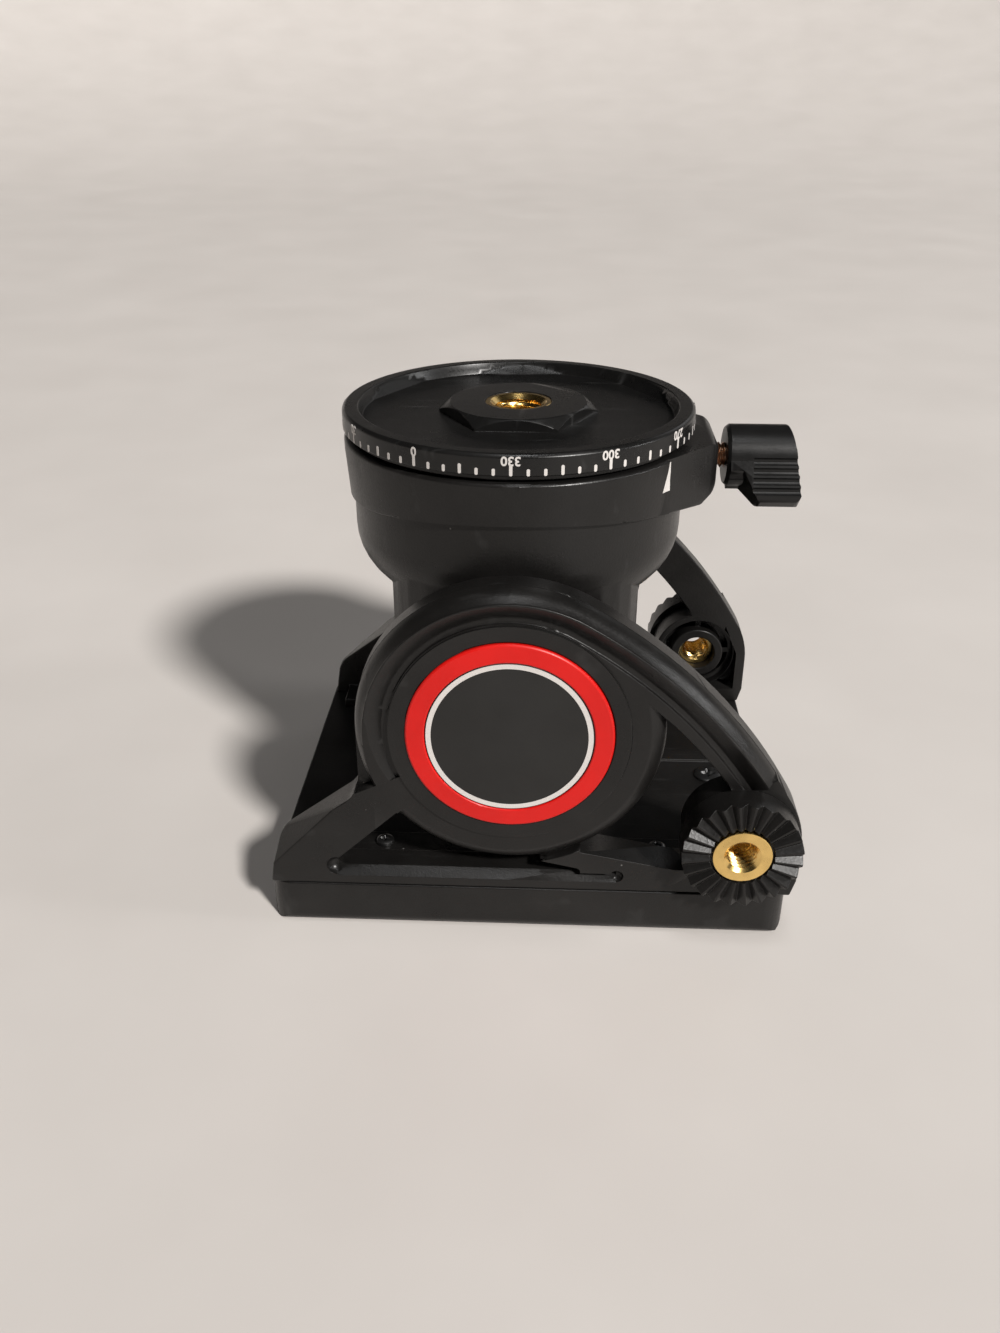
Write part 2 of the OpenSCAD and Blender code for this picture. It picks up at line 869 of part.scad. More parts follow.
// Flange with an arched lower edge and the lug of the pan lock
module flange() {
    intersection() {
        union() {
            rotate_extrude() polygon([
                [0, flange_low - 1],
                [flange_r - 0.7, flange_low - 1],
                [flange_r, flange_top - 2],
                [flange_r, flange_top - 0.4],
                [flange_r - 0.4, flange_top],
                [0, flange_top]
            ]);
            lug();
        }
        translate([-base_d, 0, flange_low + arch_r]) rotate([0, 90, 0])
            cylinder(r = arch_r, h = 2 * base_d, $fn = 180);
    }
}

module lug() {
    half = lug_w / 2;
    intersection() {
        translate([0, 0, flange_low]) linear_extrude(flange_h) polygon(rounded([
            [[0, -flange_r + 3], 0],
            [[flange_r - 6, -flange_r + 12.4], 9],
            [[lug_reach, -half + 2], 5],
            [[lug_reach, half - 2], 5],
            [[flange_r - 6, flange_r - 12.4], 9],
            [[0, flange_r - 3], 0]
        ]));
        translate([0, base_r, 0]) rotate([90, 0, 0]) linear_extrude(base_d) polygon(rounded([
            [[0, flange_low - 1], 0],
            [[flange_r - 1, flange_low - 1], 0],
            [[lug_reach, flange_low + 2.4], 2.5],
            [[lug_reach, flange_top], 1.6],
            [[0, flange_top], 0]
        ]));
    }
}

// Neck with round corners and a round lower end, and the hub on the tilt axis
module neck() {
    half = neck_half - 1.5;
    low_r = neck_r + 2.8;
    round_r = 13;
    translate([0, neck_half, tilt_z]) rotate([90, 0, 0]) cylinder(r = hub_r, h = neck_w);
    intersection() {
        translate([0, 0, tilt_z - low_r]) linear_extrude(low_r + bowl_low + 7.6) polygon(rounded([
            [[-neck_r, -half], round_r],
            [[neck_r, -half], round_r],
            [[neck_r, half], round_r],
            [[-neck_r, half], round_r]
        ]));
        union() {
            translate([0, neck_half, tilt_z]) rotate([90, 0, 0]) cylinder(r = low_r, h = neck_w);
            translate([-base_r, -base_r, tilt_z]) cube([base_d, base_d, base_r]);
        }
    }
}

module pan_housing() {
    color(black) difference() {
        union() {
            rotate_extrude() bowl_section();
            flange();
            neck();
        }
        translate([0, 0, cup_floor]) cylinder(r = cup_r, h = base_rise);
        translate([0, 0, ring_low]) cylinder(r = ring_r, h = base_rise);
        translate([0, 0, lock_z]) rotate([0, 90, 0]) cylinder(r = shoe_r + fit, h = shoe_bore_end);
        translate([0, 0, lock_z]) rotate([0, 90, 0]) cylinder(r = screw_hole_r, h = base_d);
        translate([0, neck_w, tilt_z]) rotate([90, 0, 0]) cylinder(r = bush_r, h = 2 * neck_w);
    }
}

module pan_thrust_washer() {
    color(nylon) tube(spindle_flange_r, insert_head_r + gap, cup_floor, cup_floor + thrust_t);
}

module pan_retaining_ring() {
    color(brass) tube(ring_r - fit, ring_bore_r, ring_low, ring_high);
}

// Pan base

module base_disc() {
    color(black) difference() {
        union() {
            difference() {
                rotate_extrude() polygon([
                    [0, disc_under],
                    [spigot_r, disc_under],
                    [spigot_r, band_low],
                    [base_r - 0.2, band_low],
                    [base_r, band_low + 0.2],
                    [base_r, base_top - 0.5],
                    [base_r - 0.5, base_top],
                    [0, base_top]
                ]);
                recess();
            }
            intersection() {
                translate([0, 0, band_low]) cylinder(d = boss_flats / cos(30), h = base_band, $fn = 6);
                translate([0, 0, band_low])
                    cylinder(r1 = boss_flats / 2 + 4, r2 = boss_flats / 2 - 0.15, h = base_band);
            }
            recess_slopes();
        }
        translate([0, 0, disc_under - 1]) cylinder(r = insert_r + fit, h = base_top);
        for (a = [0, 180])
            rotate([0, 0, a]) translate([pin_ring_r, 0, disc_under - 1])
            cylinder(r = pin_r + fit, h = pin_l - pin_depth + 1.1);
    }
}

// Recess with a sloping wall inside the flat lip
module recess() {
    translate([0, 0, base_top - recess_depth])
        cylinder(r1 = base_r - lip_w - 0.6, r2 = base_r - lip_w + 0.1, h = recess_depth + eps);
}

// Flat slopes against the recess wall, between the corners of the boss
module recess_slopes() {
    from = base_r - lip_w - slope_w;
    for (a = [30:60:330])
        rotate([0, 0, a]) translate([from, slope_l / 2, base_top - recess_depth - 0.1]) rotate([90, 0, 0])
        linear_extrude(slope_l)
        polygon([[0, 0], [slope_w + 0.4, 0], [slope_w + 0.4, recess_depth * 0.9], [0, 0.1]]);
}

module tripod_insert() {
    color(brass) difference() {
        union() {
            translate([0, 0, spindle_low]) cylinder(r = insert_head_r, h = insert_head_t);
            translate([0, 0, spindle_low]) cylinder(r = insert_r, h = base_top - spindle_low - 0.1);
        }
        translate([0, 0, base_top - 0.1 - tripod_depth]) cylinder(r = tripod_r, h = tripod_depth + 1);
        translate([0, 0, base_top - 0.9]) cylinder(r1 = tripod_r, r2 = tripod_r + 0.9, h = 0.9);
    }
}

module pan_spindle() {
    color(steel) difference() {
        union() {
            translate([0, 0, spindle_low]) cylinder(r = spindle_flange_r, h = spindle_flange_t);
            translate([0, 0, spindle_low]) cylinder(r = drum_r, h = disc_under - spindle_low);
        }
        translate([0, 0, spindle_low - 1]) cylinder(r = insert_r + fit, h = base_top);
        translate([0, 0, spindle_low - 1]) cylinder(r = insert_head_r + fit, h = insert_head_t + 1);
        for (a = [0, 180])
            rotate([0, 0, a]) translate([pin_ring_r, 0, disc_under - pin_depth])
            cylinder(r = pin_r + fit, h = pin_depth + 1);
    }
}

module drive_pins() {
    color(steel) for (a = [0, 180])
        rotate([0, 0, a]) translate([pin_ring_r, 0, disc_under - pin_depth]) cylinder(r = pin_r, h = pin_l);
}

// Pan lock

module pan_brake_shoe() {
    color(brass) translate([shoe_front, 0, lock_z]) rotate([0, 90, 0]) cylinder(r = shoe_r, h = shoe_l);
}

module pan_lock_screw() {
    from = shoe_back + near_gap;
    color(steel) translate([from, 0, lock_z]) rotate([0, 90, 0])
        cylinder(r = screw_r, h = pan_collar_x + knob_bore_depth - from);
}

module pan_lock_knob() {
    color(black) translate([pan_collar_x, 0, lock_z]) rotate([-45, 0, 0]) rotate([0, 90, 0])
        knob(screw_hole_r);
}

// Plate clamp

module plate_clamp_jaw() {
    color(black) difference() {
        translate([-jaw_l / 2, 0, 0]) rotate([90, 0, 90]) linear_extrude(jaw_l) polygon([
            [mouth_half + jaw_gap, jaw_low],
            [mouth_half + jaw_gap, undercut_z],
            [floor_half - jaw_gap, channel_depth - 1],
            [floor_half - jaw_gap, jaw_front_top],
            [floor_half + gap, jaw_front_top],
            [floor_half + gap, jaw_top],
            [jaw_back, jaw_top],
            [jaw_back, jaw_low]
        ]);
        translate([0, jaw_back - 3, clamp_z]) rotate([-90, 0, 0]) cylinder(r = clamp_hole_r, h = 4);
    }
}

module plate_clamp_screw() {
    from = jaw_back - 3 + near_gap;
    color(steel) translate([0, from, clamp_z]) rotate([-90, 0, 0])
        cylinder(r = clamp_r, h = clamp_collar_y + clamp_scale * knob_bore_depth - from);
}

module plate_clamp_knob() {
    color(black) translate([0, clamp_collar_y, clamp_z]) rotate([-90, 0, 0]) rotate([0, 0, -90])
        scale(clamp_scale) knob(clamp_hole_r / clamp_scale);
}

near_cheek();
far_cheek();
platform();
cheek_screws();
stop_screw();
near_rosette();
far_rosette();
near_handle_insert();
far_handle_insert();
tilt_axle();
side_cap();
red_trim_ring();
near_drag_disc();
far_drag_disc();
pan_housing();
near_tilt_bush();
far_tilt_bush();
pan_thrust_washer();
pan_retaining_ring();
base_disc();
tripod_insert();
pan_spindle();
drive_pins();
pan_brake_shoe();
pan_lock_screw();
pan_lock_knob();
tilt_lock_washer();
tilt_lock_knob();
tilt_knob_nut();
plate_clamp_jaw();
plate_clamp_screw();
plate_clamp_knob();
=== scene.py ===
"""Looks of the fluid video head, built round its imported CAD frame."""

import json
import math

import bmesh
import bpy
from mathutils import Matrix, Vector
from mathutils.bvhtree import BVHTree
from mathutils.kdtree import KDTree


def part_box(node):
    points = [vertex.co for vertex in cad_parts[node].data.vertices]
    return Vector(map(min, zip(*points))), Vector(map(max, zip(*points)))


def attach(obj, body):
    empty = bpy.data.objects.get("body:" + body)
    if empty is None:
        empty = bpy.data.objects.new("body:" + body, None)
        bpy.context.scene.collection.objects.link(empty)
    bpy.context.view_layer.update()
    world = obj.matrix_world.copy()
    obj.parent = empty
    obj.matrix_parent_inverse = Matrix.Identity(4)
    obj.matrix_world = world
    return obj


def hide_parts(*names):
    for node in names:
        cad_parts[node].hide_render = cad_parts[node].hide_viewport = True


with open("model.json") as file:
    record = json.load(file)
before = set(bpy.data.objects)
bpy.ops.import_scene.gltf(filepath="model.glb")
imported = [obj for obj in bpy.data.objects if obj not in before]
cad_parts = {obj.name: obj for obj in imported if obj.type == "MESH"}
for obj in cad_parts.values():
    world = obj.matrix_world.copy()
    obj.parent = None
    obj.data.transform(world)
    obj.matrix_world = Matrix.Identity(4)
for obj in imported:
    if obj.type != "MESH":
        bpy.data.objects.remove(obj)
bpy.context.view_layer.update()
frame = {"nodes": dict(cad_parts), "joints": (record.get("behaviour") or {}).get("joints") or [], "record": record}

MM = 0.001
BODIES = frame["record"]["behaviour"]["bodies"]
BODY_OF = {node: body for body, nodes in BODIES.items() for node in nodes}
SLOT_OF = {part["node"]: part["material_slot"] for part in frame["record"]["subparts"]}
COLOUR_OF = {slot["slot"]: slot["base_color"][:3] for slot in frame["record"]["materials"]}

# Camera at the photograph's viewing point, in millimetres and degrees
FRAME_SIZE = (1000, 1333)
FOCAL_PX = 1156.76
CAMERA_AT = (5.73, -195.4, 137.23)
CAMERA_YAW = -2.62
CAMERA_PITCH = 28.17
CAMERA_ROLL = -0.06
SENSOR = 36.0


def make_camera():
    data = bpy.data.cameras.new("photo_camera")
    data.sensor_width = SENSOR
    data.sensor_fit = "AUTO"
    data.lens = SENSOR * FOCAL_PX / max(FRAME_SIZE)
    data.clip_start = 0.01
    data.clip_end = 20.0
    camera = bpy.data.objects.new("photo_camera", data)
    bpy.context.scene.collection.objects.link(camera)
    turn = Matrix.Rotation(math.radians(-CAMERA_YAW), 4, "Z")
    look = Matrix.Rotation(math.radians(90 - CAMERA_PITCH), 4, "X")
    roll = Matrix.Rotation(math.radians(CAMERA_ROLL), 4, "Z")
    camera.matrix_world = Matrix.Translation(Vector(CAMERA_AT) * MM) @ turn @ look @ roll
    bpy.context.scene.camera = camera


make_camera()


# Materials

# Sockets of a Mix node that mixes colours
MIX_SHARE, MIX_A, MIX_B, MIX_RESULT = 0, 6, 7, 2


class Finish:
    """A material whose nodes are added one by one, in object space and metres."""

    def __init__(self, name, colour, rough, metal=0.0, **sockets):
        self.mat = bpy.data.materials.new(name)
        self.mat.use_nodes = True
        self.tree = self.mat.node_tree
        self.shader = self.tree.nodes["Principled BSDF"]
        self.shader.inputs["Base Color"].default_value = (*colour, 1)
        self.shader.inputs["Roughness"].default_value = rough
        self.shader.inputs["Metallic"].default_value = metal
        for socket, value in sockets.items():
            self.shader.inputs[socket.replace("_", " ")].default_value = value
        self.where = self.node("ShaderNodeTexCoord").outputs["Object"]

    def node(self, kind, inputs=None, **settings):
        made = self.tree.nodes.new(kind)
        for key, value in settings.items():
            setattr(made, key, value)
        for key, value in (inputs or {}).items():
            if isinstance(value, bpy.types.NodeSocket):
                self.tree.links.new(value, made.inputs[key])
            else:
                made.inputs[key].default_value = value
        return made

    def noise(self, size_mm, detail=2.0, rough=0.5, stretch=(1, 1, 1), turn=(0, 0, 0)):
        """Noise with blobs of about this size."""
        moved = self.node("ShaderNodeMapping", {
            "Vector": self.where, "Scale": stretch, "Rotation": turn})
        made = self.node("ShaderNodeTexNoise", {
            "Vector": moved.outputs["Vector"], "Scale": 1 / (size_mm * MM),
            "Detail": detail, "Roughness": rough})
        return made.outputs["Fac"]

    def span(self, value, low, high, out_low=0.0, out_high=1.0):
        """Maps a value from one range to another and stops at its ends."""
        made = self.node("ShaderNodeMapRange", {
            "Value": value, "From Min": low, "From Max": high,
            "To Min": out_low, "To Max": out_high})
        return made.outputs["Result"]

    def sum(self, a, b, operation="ADD"):
        return self.node("ShaderNodeMath", {0: a, 1: b}, operation=operation).outputs["Value"]

    def mix(self, share, a, b):
        made = self.node("ShaderNodeMix", data_type="RGBA")
        for key, value in ((MIX_SHARE, share), (MIX_A, a), (MIX_B, b)):
            if isinstance(value, bpy.types.NodeSocket):
                self.tree.links.new(value, made.inputs[key])
            else:
                made.inputs[key].default_value = value if key == MIX_SHARE else (*value, 1)
        return made.outputs[MIX_RESULT]

    def colour(self, socket):
        self.tree.links.new(socket, self.shader.inputs["Base Color"])

    def rough(self, socket):
        self.tree.links.new(socket, self.shader.inputs["Roughness"])

    def bump(self, height, strength, depth_mm):
        made = self.node("ShaderNodeBump", {
            "Height": height, "Strength": strength, "Distance": depth_mm * MM})
        self.tree.links.new(made.outputs["Normal"], self.shader.inputs["Normal"])


def shade(colour, factor):
    return tuple(min(1.0, c * factor) for c in colour)


# Most values of a noise lie between these
NOISE_BAND = (0.3, 0.7)
# Moulded plastic: its mirror strength, and its marks with their sizes in millimetres
PLASTIC_GLOSS = 0.32
HANDLED_MM = 14
DUST_EVERY_MM = 2.4
DUST_EDGE = (0.04, 0.08)
DUST_CHANCE = (0.93, 0.96)
DUST_COVER = 0.35
DUST = (0.35, 0.34, 0.33)
RUB_MM = 9
RUB_STRETCH = (1, 7, 1)
RUB_TURN = (0, 0, 0.6)
RUB_BAND = (0.62, 0.78)
RUBBED = (0.2, 0.2, 0.2)


def moulded(name, colour, rough, grain_mm, grain, haze=0.25, streaks=0.0):
    """Moulded plastic: fine grain, handling marks, specks of dust and faint rubbed streaks."""
    made = Finish(name, colour, rough, Specular_IOR_Level=PLASTIC_GLOSS)
    fine = made.noise(grain_mm, 3.0, 0.6)
    broad = made.noise(HANDLED_MM, 4.0, 0.6)
    uneven = made.span(broad, *NOISE_BAND, rough - 0.05, rough + 0.08)
    made.rough(made.sum(uneven, made.span(fine, *NOISE_BAND, -0.05, 0.05)))
    tone = made.mix(made.span(broad, 0.35, 0.7), shade(colour, 1 - haze), shade(colour, 1 + haze))
    cells = made.node("ShaderNodeTexVoronoi", {
        "Vector": made.where, "Scale": 1 / (DUST_EVERY_MM * MM)})
    dot = made.span(cells.outputs["Distance"], *DUST_EDGE, 1.0, 0.0)
    parts = made.node("ShaderNodeSeparateColor", {"Color": cells.outputs["Color"]})
    rare = made.span(parts.outputs["Red"], *DUST_CHANCE, 0.0, DUST_COVER)
    tone = made.mix(made.sum(dot, rare, "MULTIPLY"), tone, DUST)
    if streaks:
        rub = made.noise(RUB_MM, 3.0, 0.55, RUB_STRETCH, RUB_TURN)
        tone = made.mix(made.span(rub, *RUB_BAND, 0.0, streaks), tone, RUBBED)
    made.colour(tone)
    made.bump(fine, 0.6, grain)
    return made.mat


# Turned metal: its patches of tarnish in millimetres, how dark they are, and its tool marks
TARNISH_MM = 3.5
TARNISH = 0.72
TOOL_MARK_MM = 0.25
TOOL_MARK_DEPTH = 0.006
# Ink: its uneven cover
INK_GRAIN_MM = 0.12
INK_DEPTH = 0.006
INK_THIN = 0.82


def turned(name, colour, rough):
    """Turned metal: fine tool marks, uneven polish and a little tarnish."""
    made = Finish(name, colour, rough, 1.0)
    marks = made.noise(TOOL_MARK_MM, 2.0, 0.6)
    broad = made.noise(TARNISH_MM, 3.0, 0.55)
    made.rough(made.sum(made.span(broad, *NOISE_BAND, rough - 0.06, rough + 0.1),
                        made.span(marks, *NOISE_BAND, -0.03, 0.03)))
    made.colour(made.mix(made.span(broad, 0.4, 0.75), colour, shade(colour, TARNISH)))
    made.bump(marks, 0.35, TOOL_MARK_DEPTH)
    return made.mat


def printed(name, colour, rough):
    """Printed ink: slightly uneven cover on the grain under it."""
    made = Finish(name, colour, rough)
    fine = made.noise(INK_GRAIN_MM, 3.0, 0.6)
    made.colour(made.mix(made.span(fine, 0.3, 0.75), colour, shade(colour, INK_THIN)))
    made.rough(made.span(fine, *NOISE_BAND, rough - 0.06, rough + 0.06))
    made.bump(fine, 0.4, INK_DEPTH)
    return made.mat


# Plastics: colour, roughness, size and depth of the grain in millimetres, unevenness of tone,
# rubbed streaks. Metals: colour and roughness
FINISH = {
    "black_plastic": moulded(
        "black_plastic", (0.0080, 0.0075, 0.0071), 0.33, 0.42, 0.042, streaks=0.07),
    "base_plastic": moulded(
        "base_plastic", (0.0075, 0.0073, 0.0071), 0.30, 0.30, 0.008, 0.3, 0.12),
    "knob_plastic": moulded("knob_plastic", (0.0078, 0.0077, 0.0076), 0.33, 0.30, 0.012),
    "cap_face": moulded("cap_face", (0.0150, 0.0145, 0.0138), 0.46, 0.2, 0.004, 0.15),
    "red_trim": moulded("red_trim", (0.56, 0.007, 0.005), 0.34, 0.25, 0.004, 0.08),
    "brass": turned("brass", (0.87, 0.60, 0.22), 0.22),
    "bronze": turned("bronze", COLOUR_OF["bronze"], 0.42),
    "copper_screw": turned("copper_screw", COLOUR_OF["copper_screw"], 0.33),
    "steel": turned("steel", COLOUR_OF["steel"], 0.3),
    "black_screw": turned("black_screw", COLOUR_OF["black_screw"], 0.38),
    "nylon": moulded("nylon", COLOUR_OF["nylon"], 0.45, 0.3, 0.006, 0.06),
}
INK = printed("white_ink", (0.64, 0.61, 0.585), 0.5)


# Pieces

def place(name, mesh, body, slot, material, replaced=()):
    """Puts a finished mesh into the scene on its CAD body."""
    mesh.materials.clear()
    mesh.materials.append(material)
    piece = bpy.data.objects.new(name, mesh)
    bpy.context.scene.collection.objects.link(piece)
    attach(piece, body)
    if replaced:
        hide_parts(*replaced)
    return piece


# Edges that turn more than this are crisp or rounded
SHARP = math.radians(33)


def mesh_of(name, verts, faces):
    mesh = bpy.data.meshes.new(name)
    mesh.from_pydata([tuple(v) for v in verts], [], faces)
    mesh.polygons.foreach_set("use_smooth", [True] * len(mesh.polygons))
    return mesh


def face_outwards(mesh):
    """Turns the faces of a closed mesh outwards and marks its crisp edges."""
    made = bmesh.new()
    made.from_mesh(mesh)
    bmesh.ops.recalc_face_normals(made, faces=made.faces)
    made.to_mesh(mesh)
    made.free()
    mesh.set_sharp_from_angle(angle=SHARP)


# Rounded edges

# Points nearer than this are one point
WELD = 2e-6
# Facets that turn less than this are one flat face
FLAT = math.radians(0.45)
# The flange's narrow underside: the parts of its normal along Z and along Y
LEDGE_DOWN = -0.9
LEDGE_TILT = (0.18, 0.3)
WEIGHT = "bevel_weight_edge"
# Planes through the holes of flat faces, across X and across Y, in millimetres,
# so that no face is a ring
CUTS = {
    "near_cheek": ((-22.7, 0, 26, 38.4), ()), "far_cheek": ((-22.7, 0, 26, 38.4), ()),
    "platform": ((-22.7, 0, 26, 38.3), ()),
    "near_rosette": ((38.4,), ()), "far_rosette": ((38.4,), ()),
}
CUT_BOTH = ((0,), (0,))
ON_PLANE = 1e-5


def cut_rings(made, node):
    """Splits the mesh through its holes and marks the cuts, so that they last."""
    for axis, places in enumerate(CUTS.get(node, CUT_BOTH)):
        for place_mm in places:
            at = place_mm * MM
            normal = Vector((axis == 0, axis == 1, 0))
            everything = made.verts[:] + made.edges[:] + made.faces[:]
            bmesh.ops.bisect_plane(
                made, geom=everything, dist=ON_PLANE, plane_co=normal * at, plane_no=normal)
            for edge in made.edges:
                if all(abs(v.co[axis] - at) < 2 * ON_PLANE for v in edge.verts):
                    edge.seam = True


# A rounding may take this share of the next edge of its face, and of the width of the face
SHARE_ALONG = 0.42
SHARE_ACROSS = 0.8
# A corner wider than this sets no limit, and no limit is this many metres
WIDE_CORNER = math.radians(150)
NO_LIMIT = 1.0
SHORTEST = 1e-9


def corner_room(loop, ahead):
    """How far an edge's rounding may reach along the next edge of its face at one end."""
    other = loop.link_loop_next if ahead else loop.link_loop_prev
    corner = other if ahead else loop
    turn = corner.calc_angle()
    if turn > WIDE_CORNER:
        return NO_LIMIT
    return SHARE_ALONG * other.edge.calc_length() * math.sin(turn)


def rounding_room(edge):
    """How far an edge's rounding may reach on its faces."""
    room = NO_LIMIT
    for loop in edge.link_loops:
        room = min(room, corner_room(loop, True), corner_room(loop, False))
        room = min(room, SHARE_ACROSS * loop.face.calc_area() / max(edge.calc_length(), SHORTEST))
    return room


# The two sweeps of a cheek's rim meet in a plane through the tilt axis, at this angle in degrees
RIM_SEAM = 60.0
CHEEKS = ("near_cheek", "far_cheek")
TILT_AT = next(Vector(joint["pos_m"]) for joint in frame["joints"] if joint["name"] == "tilt")


def join_sweeps(made):
    """Removes the leftover walls between the two sweeps of the rim and joins their edges."""
    turn = math.radians(RIM_SEAM)
    across = Vector((-math.sin(turn), 0, math.cos(turn)))
    near = 2 * ON_PLANE
    walls = [face for face in made.faces
             if all(abs((v.co - TILT_AT).dot(across)) < near for v in face.verts)]
    bmesh.ops.delete(made, geom=walls, context="FACES")
    bmesh.ops.delete(made, geom=[v for v in made.verts if not v.link_faces], context="VERTS")
    for vert in list({v for e in made.edges if len(e.link_faces) == 1 for v in e.verts}):
        for edge in [e for e in made.edges if len(e.link_faces) == 1 and vert not in e.verts]:
            first, last = edge.verts
            run = last.co - first.co
            share = (vert.co - first.co).dot(run) / run.length_squared
            if 0.0 < share < 1.0 and (first.co + share * run - vert.co).length < near:
                bmesh.utils.edge_split(edge, first, share)
    loose = list({v for e in made.edges if len(e.link_faces) == 1 for v in e.verts})
    bmesh.ops.remove_doubles(made, verts=loose, dist=near)


# A face counts as thrown off beyond this share of the rounding's width, and as turned over below
# this cosine; smaller faces than this many square metres don't count
OFF_SURFACE = 0.8
TURNED_OVER = -0.1
LEAST_AREA = 1e-11


def turned_over(piece, tree, width):
    """Corners of faces that the rounding has turned over or thrown off the CAD surface."""
    shown = piece.evaluated_get(bpy.context.evaluated_depsgraph_get())
    mesh = shown.to_mesh()
    mesh.calc_loop_triangles()
    corners = []
    for tri in mesh.loop_triangles:
        if tri.area < LEAST_AREA:
            continue
        points = [mesh.vertices[i].co.copy() for i in tri.vertices]
        _, normal, _, away = tree.find_nearest((points[0] + points[1] + points[2]) / 3)
        if away > OFF_SURFACE * width or tri.normal.dot(normal) < TURNED_OVER:
            corners.extend(points)
    shown.to_mesh_clear()
    return corners


# Shares of the full rounding below these are left crisp: at first, and after easing
LEAST_SHARE = 0.05
LEAST_EASED = 0.1
# A rounding grows at most by this factor from one edge to the next, over so many passes
GROWTH = 1.6
GROWTH_PASSES = 3
# What is left of a faulty rounding at each repair
EASING = (0.5, 0.5, 0.5, 0.0, 0.0, 0.0)
ROUND_STEPS = 2


def ease(mesh, corners, reach, factor):
    """Narrows the rounding of the edges near these corners."""
    weights = mesh.attributes[WEIGHT].data
    spots = KDTree(len(corners))
    for i, corner in enumerate(corners):
        spots.insert(corner, i)
    spots.balance()
    near = [spots.find(v.co)[2] < reach for v in mesh.vertices]
    for edge in mesh.edges:
        if near[edge.vertices[0]] or near[edge.vertices[1]]:
            narrow = weights[edge.index].value * factor
            weights[edge.index].value = narrow if narrow > LEAST_EASED else 0.0


def keep_sharp(mesh, sharp):
    """Leaves a crisp edge where no rounding fits."""
    weights = mesh.attributes[WEIGHT].data
    for edge in mesh.edges:
        edge.use_edge_sharp = edge.index in sharp and weights[edge.index].value == 0.0


def is_sharp(edge):
    return len(edge.link_faces) == 2 and edge.calc_face_angle(0) > SHARP


def thin_ledge(node, edge):
    """Whether an edge bounds the flange's underside, which is too narrow to be rounded."""
    low, high = LEDGE_TILT
    return node == "pan_housing" and any(
        face.normal.z < LEDGE_DOWN and low < abs(face.normal.y) < high
        for face in edge.link_faces)


def rounding_shares(made, node, width):
    """The share of the full rounding that each sharp edge has room for."""
    share = {}
    for edge in made.edges:
        if is_sharp(edge) and not thin_ledge(node, edge):
            share[edge] = min(1.0, rounding_room(edge) / width)
    for _ in range(GROWTH_PASSES):
        for edge in share:
            near = [share[e] for v in edge.verts for e in v.link_edges if e in share]
            share[edge] = min(share[edge], GROWTH * min(near))
    return share


def refine(node, width_mm):
    """A copy of a CAD node with moulded, rounded edges, which stands for the node."""
    width = width_mm * MM
    mesh = frame["nodes"][node].data.copy()
    mesh.name = node
    made = bmesh.new()
    made.from_mesh(mesh)
    bmesh.ops.remove_doubles(made, verts=made.verts, dist=WELD)
    if node in CHEEKS:
        join_sweeps(made)
    made.normal_update()
    tree = BVHTree.FromBMesh(made)
    cut_rings(made, node)
    bmesh.ops.dissolve_limit(made, angle_limit=FLAT, verts=made.verts, edges=made.edges,
                             use_dissolve_boundaries=False, delimit={"SEAM"})
    made.normal_update()
    made.edges.index_update()
    layer = made.edges.layers.float.new(WEIGHT)
    share = rounding_shares(made, node, width)
    for face in made.faces:
        face.smooth = True
    for edge in made.edges:
        weight = share.get(edge, 0.0)
        edge[layer] = weight if weight > LEAST_SHARE else 0.0
    sharp = {edge.index for edge in made.edges if is_sharp(edge)}
    made.to_mesh(mesh)
    made.free()
    slot = SLOT_OF[node]
    piece = place(node + "_moulded", mesh, BODY_OF[node], slot, FINISH[slot], (node,))
    bevel = piece.modifiers.new("rounded", "BEVEL")
    bevel.limit_method = "WEIGHT"
    bevel.width = width
    bevel.segments = ROUND_STEPS
    bevel.use_clamp_overlap = False
    bevel.miter_outer = "MITER_SHARP"
    for factor in EASING:
        corners = turned_over(piece, tree, width)
        if not corners:
            break
        ease(mesh, corners, 2 * width, factor)
        piece.data.update()
        piece.update_tag()
        bpy.context.view_layer.update()
    keep_sharp(mesh, sharp)
    piece.modifiers.new("even", "WEIGHTED_NORMAL").keep_sharp = True


# Width of each node's rounding, in millimetres
ROUNDED = {
    "near_cheek": 0.3, "far_cheek": 0.3, "platform": 0.35, "pan_housing": 0.35, "base_disc": 0.2,
    "near_rosette": 0.1, "far_rosette": 0.1, "side_cap": 0.12, "red_trim_ring": 0.1,
    "pan_lock_knob": 0.25, "tilt_lock_knob": 0.25, "plate_clamp_knob": 0.25,
    "plate_clamp_jaw": 0.25,
    "tilt_lock_washer": 0.15, "tilt_knob_nut": 0.12, "tilt_axle": 0.15, "pan_brake_shoe": 0.15,
    "near_drag_disc": 0.12, "far_drag_disc": 0.12, "near_tilt_bush": 0.12, "far_tilt_bush": 0.12,
    "pan_thrust_washer": 0.1, "pan_retaining_ring": 0.15, "pan_spindle": 0.2, "drive_pins": 0.12,
    "plate_clamp_screw": 0.12,
}
for node, width in ROUNDED.items():
    refine(node, width)


# Threads and screws

# Threads: core radius, depth and pitch, in millimetres
TRIPOD_THREAD = (3.97, 0.66, 1.5875)
HANDLE_THREAD = (2.5, 0.46, 1.0)
LOCK_THREAD = (1.72, 0.46, 0.8)
ROWS_PER_TURN = 10
# Steps round a large, a middling and a small turned solid
STEPS_LARGE, STEPS_MID, STEPS_SMALL = 96, 72, 48
# Turns over which a thread fades in and out
FADE_TURNS = 0.5
# Slope of a thread's flank and its flat root and crest
FLANK_SLOPE = 1.35
FLANK_FLAT = 0.175


def flank(turns):
    """Height of a thread's flank, 0 at the root and 1 at the crest."""
    return min(1.0, max(0.0, FLANK_SLOPE * abs(2 * (turns % 1.0) - 1) - FLANK_FLAT))


